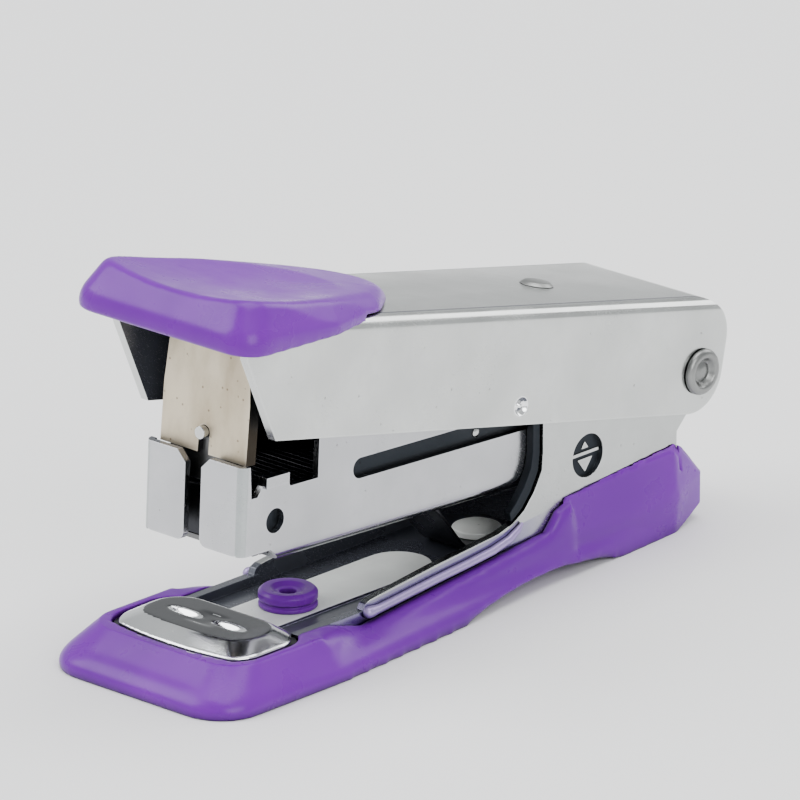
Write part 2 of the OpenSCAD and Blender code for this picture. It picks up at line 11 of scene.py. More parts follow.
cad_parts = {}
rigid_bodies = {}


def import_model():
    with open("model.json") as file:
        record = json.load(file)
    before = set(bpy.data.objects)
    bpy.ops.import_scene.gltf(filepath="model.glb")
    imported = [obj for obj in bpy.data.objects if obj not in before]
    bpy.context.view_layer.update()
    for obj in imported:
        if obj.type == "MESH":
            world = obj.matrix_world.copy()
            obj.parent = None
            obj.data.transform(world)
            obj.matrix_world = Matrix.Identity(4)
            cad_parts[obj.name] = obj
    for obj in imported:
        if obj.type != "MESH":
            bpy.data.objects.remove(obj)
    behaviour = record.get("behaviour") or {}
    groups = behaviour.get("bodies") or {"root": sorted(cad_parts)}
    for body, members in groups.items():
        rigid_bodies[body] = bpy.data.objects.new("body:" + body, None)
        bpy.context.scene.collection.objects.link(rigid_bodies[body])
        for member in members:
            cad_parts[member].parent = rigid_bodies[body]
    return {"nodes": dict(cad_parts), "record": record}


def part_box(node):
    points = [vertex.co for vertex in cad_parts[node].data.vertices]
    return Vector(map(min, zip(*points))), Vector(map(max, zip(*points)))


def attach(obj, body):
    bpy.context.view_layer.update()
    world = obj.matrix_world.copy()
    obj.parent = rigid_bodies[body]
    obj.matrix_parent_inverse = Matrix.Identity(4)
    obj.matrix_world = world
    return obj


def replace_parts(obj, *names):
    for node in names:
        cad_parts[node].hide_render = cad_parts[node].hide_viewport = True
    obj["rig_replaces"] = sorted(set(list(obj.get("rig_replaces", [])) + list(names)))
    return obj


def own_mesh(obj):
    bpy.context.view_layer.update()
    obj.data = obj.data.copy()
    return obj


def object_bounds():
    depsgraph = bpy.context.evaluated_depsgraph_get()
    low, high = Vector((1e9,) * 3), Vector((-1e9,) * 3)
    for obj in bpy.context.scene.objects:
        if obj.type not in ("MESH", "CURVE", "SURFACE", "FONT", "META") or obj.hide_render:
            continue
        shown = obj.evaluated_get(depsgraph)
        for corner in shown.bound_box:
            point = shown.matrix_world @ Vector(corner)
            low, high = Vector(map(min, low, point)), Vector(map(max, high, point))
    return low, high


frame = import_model()
cad_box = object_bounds()
record = frame["record"]
body_of_node = {n: b for b, nodes in record["behaviour"]["bodies"].items() for n in nodes}
slot_of_node = {s["node"]: s["material_slot"] for s in record["subparts"]}
joints = {j["name"]: j for j in record["behaviour"]["joints"]}
MM = 0.001
PIVOT = Vector(joints["handle_pivot"]["pos_m"])
MAG_TILT, HANDLE_TILT = 3, 12.2  # degrees
BASE_MID, FLOOR_Z = -0.4, 2.7  # the base's middle along y and the top of the frame's floor, in mm
# each body's own frame, in mm: the base's middle, and the tilted channels about the pivot
IN_BASE = Matrix.Translation((0, BASE_MID, 0))
IN_MAGAZINE, IN_HANDLE = (Matrix.Translation(PIVOT / MM) @ Matrix.Rotation(math.radians(-t), 4, "X")
                          for t in (MAG_TILT, HANDLE_TILT))


# ---- mesh helpers ----

def piece(name, mesh, node, mat, slot=None):
    """A new object that rides on the CAD node's body and stands for that node."""
    ob = bpy.data.objects.new(name, mesh)
    bpy.context.scene.collection.objects.link(ob)
    ob.data.materials.clear()
    ob.data.materials.append(mat)
    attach(ob, body_of_node[node])
    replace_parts(ob, node)
    return ob


def clean_copy(node):
    """The CAD node's mesh with its flat faces joined, ready for bevels."""
    bm = bmesh.new()
    bm.from_mesh(frame["nodes"][node].data)
    bmesh.ops.remove_doubles(bm, verts=bm.verts, dist=2e-6)
    bmesh.ops.dissolve_limit(bm, angle_limit=math.radians(0.6), verts=bm.verts, edges=bm.edges)
    bmesh.ops.recalc_face_normals(bm, faces=bm.faces)
    mesh = bpy.data.meshes.new(node + "_mesh")
    bm.to_mesh(mesh)
    bm.free()
    return mesh


def applied(ob):
    """Applies every modifier of an object to its mesh."""
    dg = bpy.context.evaluated_depsgraph_get()
    dg.update()
    mesh = bpy.data.meshes.new_from_object(ob.evaluated_get(dg))
    ob.modifiers.clear()
    ob.data = mesh
    return ob


def smooth(ob, angle):
    """Smooth shading that keeps edges sharper than the angle."""
    bm = bmesh.new()
    bm.from_mesh(ob.data)
    lim = math.radians(angle)
    for f in bm.faces:
        f.smooth = True
    for e in bm.edges:
        e.smooth = not (len(e.link_faces) == 2 and e.calc_face_angle(0) > lim)
    bm.to_mesh(ob.data)
    bm.free()


def bevelled(ob, width, segments):
    """Rolls an object's sharp edges and keeps its flats flat; the width is in mm."""
    b = ob.modifiers.new("bevel", "BEVEL")
    b.width = width * MM
    b.segments = segments
    b.limit_method = "ANGLE"
    b.angle_limit = math.radians(30)
    b.harden_normals = True
    return applied(ob)


def refined(node, mat, bevel=0.07, segments=2):
    """A CAD node with rolled edges: joined flats and a small bevel."""
    ob = piece(node + "_look", clean_copy(node), node, mat)
    smooth(ob, 40)
    return bevelled(ob, bevel, segments)


def second_material(ob, mat, test):
    """Gives the faces that pass the test another material; centre in mm."""
    ob.data.materials.append(mat)
    index = len(ob.data.materials) - 1
    for p in ob.data.polygons:
        if test(p.center / MM, p.normal, p.area / MM / MM):
            p.material_index = index


def sharp_edges(node, angle=25, step=0.04):
    """A search tree of points along the sharp edges of a CAD node: the least angle in degrees, the step in mm."""
    bm = bmesh.new()
    bm.from_mesh(clean_copy(node))
    points = []
    for e in bm.edges:
        if len(e.link_faces) == 2 and e.calc_face_angle(0) > math.radians(angle):
            start, end = (v.co for v in e.verts)
            steps = max(1, int((end - start).length / (step * MM)))
            points += [start.lerp(end, i / steps) for i in range(steps + 1)]
    bm.free()
    tree = KDTree(len(points))
    for i, c in enumerate(points):
        tree.insert(c, i)
    tree.balance()
    return tree


# how far a point moves to its neighbours' mean each round, and the weights below which a point is drawn back
# to the CAD's faces and to its edges
SETTLE, STAYS, SNAPS = 0.6, 0.45, 0.3


def moulded(node, mat, voxel, rounds, weight=None):
    """A CAD node remeshed finely and relaxed, so its edges become moulded fillets and its faces stay true.
    The weight says how far each point may move along x, y and z, from 0 to 1."""
    mesh = frame["nodes"][node].data.copy()
    true_faces = BVHTree.FromPolygons([v.co for v in mesh.vertices], [p.vertices[:] for p in mesh.polygons])
    ob = piece(node + "_look", mesh, node, mat)
    r = ob.modifiers.new("remesh", "REMESH")
    r.mode = "VOXEL"
    r.voxel_size = voxel * MM
    r.adaptivity = 0.0
    applied(ob)
    me = ob.data
    n = len(me.vertices)
    co = np.empty(n * 3)
    me.vertices.foreach_get("co", co)
    co = co.reshape(-1, 3)
    ed = np.empty(len(me.edges) * 2, dtype=np.int64)
    me.edges.foreach_get("vertices", ed)
    a, b = ed.reshape(-1, 2).T
    deg = np.bincount(np.concatenate((a, b)), minlength=n)[:, None]
    w = np.ones((n, 1)) if weight is None else weight(co / MM)

    def relaxed(co, times):
        for _ in range(times):
            total = [np.bincount(a, co[b, k], n) + np.bincount(b, co[a, k], n) for k in range(3)]
            co = co + SETTLE * w * (np.stack(total, 1) / deg - co)
        return co

    co = relaxed(co, rounds)
    least = w.min(axis=1)
    # points that hardly left the CAD's surface, or were to stay, go back onto it, so faces and beds are true
    near = np.array([tuple(true_faces.find_nearest(Vector(c))[0]) for c in co])
    reach = 0.05 + 0.6 * np.clip(STAYS - least, 0, 1)
    far = np.clip((np.linalg.norm(co - near, axis=1) / MM - 0.015) / reach, 0, 1)[:, None]
    far = far * far * (3 - 2 * far)
    co = near + (co - near) * far
    # where nothing was to be rounded, the points next to a sharp edge go onto it
    edges = sharp_edges(node)
    for i in np.nonzero(least < SNAPS)[0]:
        on_edge, _, distance = edges.find(co[i])
        if distance < 1.3 * voxel * MM:
            co[i] = on_edge
    co = relaxed(co, 9)
    me.vertices.foreach_set("co", co.ravel())
    me.update()
    me.materials.clear()
    me.materials.append(mat)
    for p in me.polygons:
        p.use_smooth = True
    return ob


def lathe(name, profile, centre, axis, node, mat, steps=64, **kw):
    """A turned solid: (radius, height) points in mm, closed on themselves, about an axis."""
    bm = bmesh.new()
    rot = Vector((0, 0, 1)).rotation_difference(Vector(axis)).to_matrix()
    rings = []
    for i in range(steps):
        t = 2 * math.pi * i / steps
        turned = [Vector((r * math.cos(t), r * math.sin(t), h)) * MM for r, h in profile]
        rings.append([bm.verts.new(Vector(centre) + rot @ p) for p in turned])
    n = len(profile)
    for i in range(steps):
        for j in range(n):
            bm.faces.new((rings[i][j], rings[(i + 1) % steps][j], rings[(i + 1) % steps][(j + 1) % n],
                          rings[i][(j + 1) % n]))
    bmesh.ops.remove_doubles(bm, verts=bm.verts, dist=1e-7)
    bmesh.ops.recalc_face_normals(bm, faces=bm.faces)
    mesh = bpy.data.meshes.new(name)
    bm.to_mesh(mesh)
    bm.free()
    ob = piece(name, mesh, node, mat, **kw)
    smooth(ob, 40)
    return ob


def prism(name, parts, where, node, mat, bevel=0.05, **kw):
    """Plates across X with rolled edges, on each side: (outline in y and z, x0, x1) in mm in a body's frame."""
    bm = bmesh.new()
    for sign in (1, -1):
        for outline, x0, x1 in parts:
            near = [bm.verts.new(where @ Vector((sign * x0, y, z)) * MM) for y, z in outline]
            far = [bm.verts.new(where @ Vector((sign * x1, y, z)) * MM) for y, z in outline]
            n = len(outline)
            bm.faces.new(near)
            bm.faces.new(far[::-1])
            for i in range(n):
                bm.faces.new((near[i], far[i], far[(i + 1) % n], near[(i + 1) % n]))
    bmesh.ops.recalc_face_normals(bm, faces=bm.faces)
    mesh = bpy.data.meshes.new(name)
    bm.to_mesh(mesh)
    bm.free()
    ob = piece(name, mesh, node, mat, **kw)
    smooth(ob, 40)
    return bevelled(ob, bevel, 2)


def tube(name, runs, radii, node, mat, sides=12, **kw):
    """Round rods with domed ends along runs of points in metres; each point has its own radius in mm."""
    bm = bmesh.new()
    for run in runs:
        rings = []
        for i, c in enumerate(run):
            t = (run[min(i + 1, len(run) - 1)] - run[max(i - 1, 0)]).normalized()
            u = t.cross(Vector((1, 0, 0))).normalized()
            v = t.cross(u)
            turns = [2 * math.pi * k / sides for k in range(sides)]
            rings.append([bm.verts.new(c + (u * math.cos(w) + v * math.sin(w)) * radii[i] * MM) for w in turns])
        for r0, r1 in zip(rings, rings[1:]):
            for k in range(sides):
                bm.faces.new((r0[k], r0[(k + 1) % sides], r1[(k + 1) % sides], r1[k]))
        bm.faces.new(rings[0][::-1])
        bm.faces.new(rings[-1])
    bmesh.ops.recalc_face_normals(bm, faces=bm.faces)
    mesh = bpy.data.meshes.new(name)
    bm.to_mesh(mesh)
    bm.free()
    ob = piece(name, mesh, node, mat, **kw)
    smooth(ob, 50)
    return ob


def circle(centre, radius, steps=32):
    """A closed round outline."""
    turns = [2 * math.pi * i / steps for i in range(steps)]
    return [(centre[0] + radius * math.cos(t), centre[1] + radius * math.sin(t)) for t in turns]


def rounded(points, radius, steps=4):
    """Rounds every corner of a closed (x, y) outline."""
    out = []
    n = len(points)
    for i in range(n):
        p, q, r = (Vector((*points[(i + k) % n], 0)) for k in (-1, 0, 1))
        u, v = (p - q), (r - q)
        d = min(radius, u.length * 0.45, v.length * 0.45)
        s, e = q + u.normalized() * d, q + v.normalized() * d
        for k in range(steps + 1):
            t = k / steps
            out.append(tuple(((s * (1 - t) + q * t) * (1 - t) + (q * (1 - t) + e * t) * t)[:2]))
    return out


# ---- material helpers ----

class Nodes:
    """Short calls for building a material's node tree."""

    def __init__(self, name):
        self.mat = bpy.data.materials.new(name)
        self.mat.use_nodes = True
        self.tree = self.mat.node_tree
        self.bsdf = self.tree.nodes["Principled BSDF"]
        self.coord = self.tree.nodes.new("ShaderNodeTexCoord").outputs["Object"]

    def link(self, a, b):
        self.tree.links.new(a, b)

    def node(self, kind, **props):
        n = self.tree.nodes.new(kind)
        for k, v in props.items():
            setattr(n, k, v)
        return n

    def mapped(self, scale):
        n = self.node("ShaderNodeMapping")
        n.inputs["Scale"].default_value = scale
        self.link(self.coord, n.inputs["Vector"])
        return n.outputs["Vector"]

    def noise(self, scale, vector=None, detail=2.0, rough=0.5, distortion=0.0):
        n = self.node("ShaderNodeTexNoise")
        n.inputs["Scale"].default_value = scale
        n.inputs["Detail"].default_value = detail
        n.inputs["Roughness"].default_value = rough
        n.inputs["Distortion"].default_value = distortion
        self.link(vector or self.coord, n.inputs["Vector"])
        return n.outputs["Fac"]

    def voronoi(self, scale):
        n = self.node("ShaderNodeTexVoronoi")
        n.inputs["Scale"].default_value = scale
        self.link(self.coord, n.inputs["Vector"])
        return n.outputs["Distance"]

    def ramp(self, value, lo, hi, a=0.0, b=1.0):
        n = self.node("ShaderNodeMapRange", clamp=True)
        n.inputs["From Min"].default_value = lo
        n.inputs["From Max"].default_value = hi
        n.inputs["To Min"].default_value = a
        n.inputs["To Max"].default_value = b
        self.link(value, n.inputs["Value"])
        return n.outputs["Result"]

    def math(self, op, a, b=None):
        n = self.node("ShaderNodeMath", operation=op)
        for i, v in enumerate((a, b)):
            if v is None:
                continue
            if isinstance(v, (int, float)):
                n.inputs[i].default_value = v
            else:
                self.link(v, n.inputs[i])
        return n.outputs[0]

    def mix(self, fac, a, b):
        n = self.node("ShaderNodeMix", data_type="RGBA")
        for i, v in ((0, fac), (6, a), (7, b)):
            if isinstance(v, (int, float)):
                n.inputs[i].default_value = v
            elif isinstance(v, tuple):
                n.inputs[i].default_value = (*v, 1)
            else:
                self.link(v, n.inputs[i])
        return n.outputs[2]

    def bump(self, height, strength, distance, normal=None):
        n = self.node("ShaderNodeBump")
        n.inputs["Strength"].default_value = strength
        n.inputs["Distance"].default_value = distance
        self.link(height, n.inputs["Height"])
        if normal is not None:
            self.link(normal, n.inputs["Normal"])
        return n.outputs["Normal"]

    def into(self, name, value):
        s = self.bsdf.inputs[name]
        if isinstance(value, tuple):
            s.default_value = (*value, 1)
        elif isinstance(value, (int, float)):
            s.default_value = value
        else:
            self.link(value, s)

    def scratches(self, scale, turns, low=0.66, high=0.72):
        """Fine lines in several directions, 1 on a line and 0 elsewhere."""
        total = None
        for i, (rot, stretch) in enumerate(turns):
            turned = self.node("ShaderNodeMapping", vector_type="TEXTURE")
            turned.inputs["Rotation"].default_value = rot
            turned.inputs["Scale"].default_value = (stretch, 1, 1)
            self.link(self.coord, turned.inputs["Vector"])
            n = self.ramp(self.noise(scale * (1 + 0.17 * i), turned.outputs["Vector"], 1.0), low, high)
            total = n if total is None else self.math("MAXIMUM", total, n)
        return total

    def cavity(self, reach, lo, hi):
        """1 in the open and 0 deep inside gaps: the mask for painted shade."""
        ao = self.node("ShaderNodeAmbientOcclusion", samples=8)
        ao.inputs["Distance"].default_value = reach * MM
        return self.ramp(ao.outputs["AO"], lo, hi)

    def axis(self, name):
        n = self.node("ShaderNodeSeparateXYZ")
        self.link(self.coord, n.inputs[0])
        return n.outputs[name]

    def edges(self, radius=0.3):
        """1 along edges and 0 on flats."""
        round_normal = self.node("ShaderNodeBevel", samples=4)
        round_normal.inputs["Radius"].default_value = radius * MM
        g = self.node("ShaderNodeNewGeometry")
        dot = self.node("ShaderNodeVectorMath", operation="DOT_PRODUCT")
        self.link(round_normal.outputs[0], dot.inputs[0])
        self.link(g.outputs["Normal"], dot.inputs[1])
        return self.ramp(dot.outputs["Value"], 0.86, 0.99, 1, 0)


def plated(name, tint, rough, dark=(0.05, 0.052, 0.056), reach=7, open_at=0.62, painted_reflection=None, metal=1.0):
    """Bright plating on drawn sheet: cloudy gloss, fine drawing marks and scratches."""
    m = Nodes(name)
    cloud = m.noise(120, detail=4)
    fine = m.noise(1.0, m.mapped((4200, 4200, 4200)), 3.0)
    marks = m.scratches(8800, [((0.3, 0.1, 0.5), 42), ((1.1, 0.4, -0.4), 55), ((-0.6, 0.8, 1.3), 34)])
    dots = m.ramp(m.voronoi(900), 0.05, 0.14, 1, 0)
    specks = m.math("MULTIPLY", dots, m.ramp(m.noise(500), 0.55, 0.6))
    r = m.ramp(cloud, 0.3, 0.7, rough[0], rough[1])
    r = m.math("ADD", r, m.ramp(marks, 0, 1, 0, 0.06))
    m.into("Roughness", m.math("ADD", r, m.ramp(specks, 0, 1, 0, 0.2)))
    tone = m.mix(m.ramp(m.noise(150, detail=4), 0.35, 0.7), tint, tuple(c * 0.84 for c in tint))
    mottle = m.ramp(m.noise(900, detail=3, rough=0.7), 0.45, 0.75, 0, 0.6)
    tone = m.mix(mottle, tone, tuple(c * 0.88 for c in tint))
    tone = m.mix(m.math("MULTIPLY", specks, 0.5), tone, tuple(c * 0.35 for c in tint))
    # painted highlight: the plating is lighter along its edges
    tone = m.mix(m.math("MULTIPLY", m.edges(), 0.5), tone, tuple(min(1, c * 1.25) for c in tint))
    if painted_reflection:
        # painted reflection: below a line that rises to the rear, the sheet takes the tint of the plastic beside
        # it, standing for that plastic mirrored in it
        rise = m.math("SUBTRACT", m.axis("Z"), m.math("MULTIPLY", m.axis("Y"), 0.098))
        ahead = m.ramp(m.axis("Y"), 7 * MM, 12 * MM, 1, 0)
        low = m.math("MULTIPLY", m.ramp(rise, 5.12 * MM, 5.22 * MM, 1, 0), ahead)
        tone = m.mix(low, tone, painted_reflection)
    # painted shade: the colour turns dark inside gaps, as far as reach goes
    m.into("Base Color", m.mix(m.cavity(reach, 0.12, open_at), dark, tone))
    m.into("Metallic", metal)
    n = m.bump(fine, 0.12, 0.00002)
    n = m.bump(m.noise(380, detail=2), 0.12, 0.00006, n)
    n = m.bump(marks, 0.06, 0.00001, n)
    m.into("Normal", n)
    return m.mat


def plastic(name, deep, light):
    """Glossy moulded plastic with a faint flow pattern, rubbed edges and fine scratches."""
    m = Nodes(name)
    flow = m.noise(70, m.mapped((1, 0.35, 1)), 3.0, 0.55, 0.4)
    col = m.mix(m.ramp(flow, 0.35, 0.7), deep, light)
    col = m.mix(m.math("MULTIPLY", m.edges(0.6), 0.3), col, tuple(min(1, c * 1.5 + 0.01) for c in light))
    # painted shade: darker purple deep inside gaps
    col = m.mix(m.cavity(1.6, 0.2, 0.8), tuple(c * 0.35 for c in deep), col)
    m.into("Base Color", col)
    marks = m.scratches(7200, [((0.2, 0.3, 0.9), 40), ((1.4, -0.4, 0.2), 50)], 0.68, 0.73)
    r = m.ramp(m.noise(300, detail=3), 0.3, 0.75, 0.24, 0.38)
    m.into("Roughness", m.math("ADD", r, m.ramp(marks, 0, 1, 0, 0.1)))
    m.into("Subsurface Weight", 0.08)
    m.bsdf.inputs["Subsurface Radius"].default_value = (0.0006, 0.0003, 0.0012)
    m.into("Specular IOR Level", 0.2)
    m.into("Coat Weight", 0.05)
    m.into("Coat Roughness", 0.2)
    n = m.bump(m.noise(2600, detail=2), 0.1, 0.00002)
    n = m.bump(m.noise(160, detail=2), 0.06, 0.00012, n)
    n = m.bump(marks, 0.03, 0.00001, n)
    m.into("Normal", n)
    return m.mat


def cream_steel(name):
    """Warm satin steel with small rust specks and darker stains."""
    m = Nodes(name)
    stain = m.noise(330, m.mapped((1, 1, 0.45)), 4.0, 0.6)
    col = m.mix(m.ramp(stain, 0.38, 0.72), (0.66, 0.58, 0.44), (0.50, 0.42, 0.30))
    speck = m.ramp(m.voronoi(1500), 0.08, 0.2, 1, 0)
    speck = m.math("MULTIPLY", speck, m.ramp(m.noise(900), 0.5, 0.56))
    col = m.mix(m.math("MULTIPLY", speck, 0.75), col, (0.16, 0.10, 0.06))
    # painted highlight: lighter along the edges
    col = m.mix(m.math("MULTIPLY", m.edges(), 0.5), col, (0.74, 0.70, 0.62))
    # painted shade: dark inside gaps
    m.into("Base Color", m.mix(m.cavity(5, 0.1, 0.6), (0.05, 0.04, 0.035), col))
    m.into("Metallic", 0.75)
    m.into("Roughness", m.ramp(stain, 0.3, 0.7, 0.36, 0.52))
    n = m.bump(m.noise(1.0, m.mapped((900, 900, 5200)), 2.0), 0.2, 0.00002)
    n = m.bump(speck, 0.25, 0.00001, n)
    m.into("Normal", n)
    return m.mat


# in the plated steels, reach and open_at set how far the painted shade in gaps goes; plain_steel and staple_wire
# reach far, so the magazine's inside and the staples are painted dark
MATS = {
    "purple_plastic": plastic("purple_plastic", (0.108, 0.0045, 0.258), (0.155, 0.0095, 0.34)),
    "bright_plating": plated("bright_plating", (0.60, 0.615, 0.605), (0.13, 0.26)),
    "plain_steel": plated("plain_steel", (0.26, 0.26, 0.26), (0.28, 0.42), reach=14, open_at=0.9),
    "rivet_steel": plated("rivet_steel", (0.27, 0.275, 0.27), (0.28, 0.42), reach=1.0, open_at=0.8),
    "spring_steel": plated("spring_steel", (0.10, 0.10, 0.115), (0.2, 0.35)),
    "dark_steel": plated("dark_steel", (0.035, 0.036, 0.042), (0.25, 0.4), reach=12),
    "staple_wire": plated("staple_wire", (0.30, 0.31, 0.32), (0.2, 0.35), reach=16, open_at=0.95),
    "warm_steel": cream_steel("warm_steel"),
}
# painted shade: a darker plating for faces inside channels and on the sunken floor, standing for the shade there,
# where only dark surfaces are mirrored
SHADED = plated("shaded_plating", (0.11, 0.118, 0.14), (0.2, 0.34), dark=(0.055, 0.06, 0.08), open_at=0.9,
                metal=0.55)
# painted reflection: the frame's flanges take a lilac tint low down
FRAME = plated("frame_plating", (0.525, 0.54, 0.535), (0.13, 0.26), painted_reflection=(0.27, 0.25, 0.38))
TROUGH = plated("trough_plating", (0.50, 0.505, 0.525), (0.13, 0.26))
# painted shade: a darker plating for the rolled corners of the magazine
BEND_SHADE = plated("bend_shade_plating", (0.40, 0.425, 0.43), (0.16, 0.28))
# painted reflection: a lilac tint standing for the purple plastic mirrored in the bead
BEAD = plated("bead_plating", (0.38, 0.29, 0.56), (0.28, 0.4), reach=1.2, metal=0.6)
# painted light: a near-white, half-matt plating that keeps surfaces bright in the shade under the magazine
PANEL = plated("panel_plating", (0.97, 1.0, 0.97), (0.42, 0.55), dark=(0.5, 0.51, 0.52), reach=1.2,
               open_at=0.6, metal=0.3)
# painted shade: a near-black steel for strips and discs set where there is only shade
SHADE_SHEET = plated("shade_sheet_steel", (0.022, 0.026, 0.032), (0.3, 0.45))
# painted reflection: a dark plating standing for the dark underside of the magazine mirrored in the anvil's top
ANVIL_TOP = plated("anvil_top", (0.11, 0.113, 0.12), (0.06, 0.12), reach=2, open_at=0.6)
# painted highlight: a brighter copy of the plating
GLEAM = plated("gleam_plating", (0.93, 0.95, 0.96), (0.08, 0.18), reach=0.5)
# painted shade: a near-black steel for the driver plate's side faces
WING_SHADE = plated("wing_shade_steel", (0.035, 0.028, 0.02), (0.3, 0.45))


# ---- base ----

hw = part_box("base_bracket")[1][0] / MM  # half the steel frame's width
seat_lo, seat_hi = (np.array(c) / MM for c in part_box("anvil_seat"))


def base_weight(co):
    """Rounding along x, y and z: full outside, less beside the steel frame's bed, little in z underneath."""
    x, y, z = np.abs(co[:, 0]), co[:, 1], co[:, 2]
    side = np.where(y > seat_lo[1] - 1, np.clip((x - hw - 0.15) / 0.8, 0.05, 1), 1)
    pad = np.maximum(np.maximum(x - seat_hi[0], seat_lo[1] - y), y - seat_hi[1])
    pad = np.where(y < seat_hi[1] + 1.5, np.clip((pad - 0.5) / 1.2, 0.12, 1), 1)
    along = np.minimum(np.maximum(side, 0.3), pad)
    above = np.clip(z / 0.5, 0.1, 1)
    block = np.where(y > 13, 0.5, 1)
    return np.stack([np.minimum(side, pad) * block, along * block, along * above * block], 1)


moulded("base_cover", MATS["purple_plastic"], 0.19, 45, base_weight)
moulded("handle_cap", MATS["purple_plastic"], 0.16, 24)
# painted highlight: the anvil plate is in the brighter plating, apart from its flat top
anvil = moulded("anvil_plate", GLEAM, 0.1, 5)

# moulded stud with a dished top, a centre hole and a waist groove
stud_lo, stud_hi = (Vector(c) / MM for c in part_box("cover_stud"))
stud_r, stud_h = (stud_hi.x - stud_lo.x) / 2, stud_hi.z - stud_lo.z
stud_foot = Vector(((stud_lo.x + stud_hi.x) / 2, (stud_lo.y + stud_hi.y) / 2, stud_lo.z)) * MM
stud_outside = [(0.7, 0), (stud_r - 0.9, 0), (stud_r - 0.9, 0.98), (stud_r - 0.02, 0.98), (stud_r, 1.3),
                (stud_r - 0.22, 1.42), (stud_r - 0.22, 1.56), (stud_r, 1.68), (stud_r, stud_h - 0.3)]
stud_dish = [(stud_r - 0.3, stud_h), (1.5, stud_h - 0.02), (1.1, stud_h - 0.3), (0.7, stud_h - 0.34)]
lathe("cover_stud_look", rounded(stud_outside + stud_dish, 0.1, 3), stud_foot, (0, 0, 1), "cover_stud",
      MATS["purple_plastic"])

# ---- steel frame ----

def shaded_on_bracket(c, n, _):
    """Faces given painted shade: the sunken floor, the flanges' inner faces, the left hook and the raised edges
    ahead of the flanges.
    """
    on_floor = abs(c.z - FLOOR_Z) < 0.1 and n.z > 0.9
    inner_face = abs(n.x) > 0.9 and n.x * c.x < 0 and abs(c.x) > hw - 1
    left_hook = c.x < 0.8 - hw and c.y < -9.5
    front_edge = c.y < -12 and c.z > FLOOR_Z - 0.6 and abs(c.x) > hw - 1
    return on_floor or inner_face or left_hook or front_edge


bracket = refined("base_bracket", FRAME, bevel=0.12, segments=3)
second_material(bracket, SHADED, shaded_on_bracket)
# painted light: the raised panel on the floor and the spring rivet get the near-white panel plating
second_material(bracket, PANEL, lambda c, n, _: 0.15 < c.z - FLOOR_Z < 0.3 and n.z > 0.9)
refined("spring_rivet", PANEL)

# rolled bead along the outside of each low flange, thicker at its round front end, tinted lilac as a painted
# reflection of the purple plastic
bead_line = [(-11.25, 3.35), (-11.1, 3.35), (-10.85, 3.32), (-10.4, 3.3), (-9.6, 3.3), (-6.4, 3.6),
             (-2.4, 3.98), (1.5, 4.3), (4.4, 4.6), (6.4, 5.05), (7.5, 5.6), (8.1, 6.1)]
bead_r = [0.1, 0.4, 0.52, 0.5, 0.4, 0.38, 0.38, 0.38, 0.38, 0.36, 0.3, 0.12]
bead_runs = [[IN_BASE @ Vector((side * (hw + 0.22), y, z)) * MM for y, z in bead_line] for side in (1, -1)]
tube("flange_beads", bead_runs, bead_r, "base_bracket", BEAD)

# painted shade: a near-black inward lip along the front edge of each ear, standing for the shade band there
lip = [(7.2, 6.3), (8.5, 7.15), (9.6, 8.4), (10.5, 10), (10.7, 11.5), (10.7, 16.5), (9.9, 16.5),
       (9.85, 11.7), (9.6, 10.4), (8.8, 9), (7.9, 7.9), (7, 7.1)]
prism("ear_shade_lips", [(lip, hw - 0.95, hw - 0.2)], IN_BASE, "base_bracket", SHADE_SHEET)

# pierced mark behind the round hole of each ear: a bar with a small triangle over it and a larger one under it
IN_EAR = IN_BASE @ Matrix.Translation((0, 16.5, 9.8))
# painted shade: a near-black disc behind each round hole stands for the shade seen through it
prism("ear_backs", [(circle((0, 0), 1.9), hw - 0.75, hw - 0.42)], IN_EAR, "base_bracket", SHADE_SHEET, bevel=0.02)
ear_bar = [(-1.7, 0), (1.7, 0), (1.65, 0.3), (-1.65, 0.3)]
ear_large = rounded([(-0.95, -0.3), (0, -1.55), (0.95, -0.3)], 0.15)
ear_small = rounded([(-0.45, 0.55), (0.45, 0.55), (0, 1.2)], 0.12)
mark_back = hw - 0.44
prism("ear_marks", [(ear_bar, mark_back, hw - 0.3), (ear_large, mark_back, hw - 0.32),
                    (ear_small, mark_back, hw - 0.34)], IN_EAR, "base_bracket", FRAME, bevel=0.03)

# tubular rivet with rolled rims and a sunk, domed middle
pin_lo, pin_hi = (Vector(c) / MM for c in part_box("pivot_pin"))
head_r, pin_half = (pin_hi.z - pin_lo.z) / 2, pin_hi.x
dome = [(0, 0.3), (0.3, 0.3), (0.55, 0.36), (0.8, 0.5), (0.92, 0.52), (1.05, 0.44), (1.2, 0.16), (1.35, 0.03)]
rim = [(1.5, 0), (head_r - 0.25, 0.06), (head_r - 0.07, 0.2), (head_r, 0.36), (head_r, 0.52),
       (head_r - 0.05, 0.54), (1.59, 0.545)]
pin_end = dome + rim
pin_profile = [(r, pin_half - d) for r, d in pin_end] + [(r, d - pin_half) for r, d in reversed(pin_end)]
lathe("pivot_pin_look", pin_profile, PIVOT, (1, 0, 0), "pivot_pin", MATS["rivet_steel"])

# ---- magazine ----

magazine = refined("magazine", TROUGH, bevel=0.12, segments=3)
mag_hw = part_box("magazine")[1][0] / MM - 0.35


def shaded_in_magazine(c, n, area_mm2):
    """Faces given painted shade: the walls' inner faces and the trough's floor."""
    inner_face = abs(n.x) > 0.6 and n.x * c.x < 0 and mag_hw - 0.75 < abs(c.x) < mag_hw
    trough_floor = n.z > 0.8 and abs(c.x) < mag_hw - 0.6 and area_mm2 > 2
    return inner_face or trough_floor


def flap_bend(c, n, _):
    """The rolled corners between the walls and the front flaps, given a darker plating as painted shade."""
    return abs(n.x) > 0.2 and n.y < -0.2 and c.y < -22 and abs(c.x) > mag_hw - 1


second_material(magazine, SHADED, shaded_in_magazine)
second_material(magazine, BEND_SHADE, flap_bend)
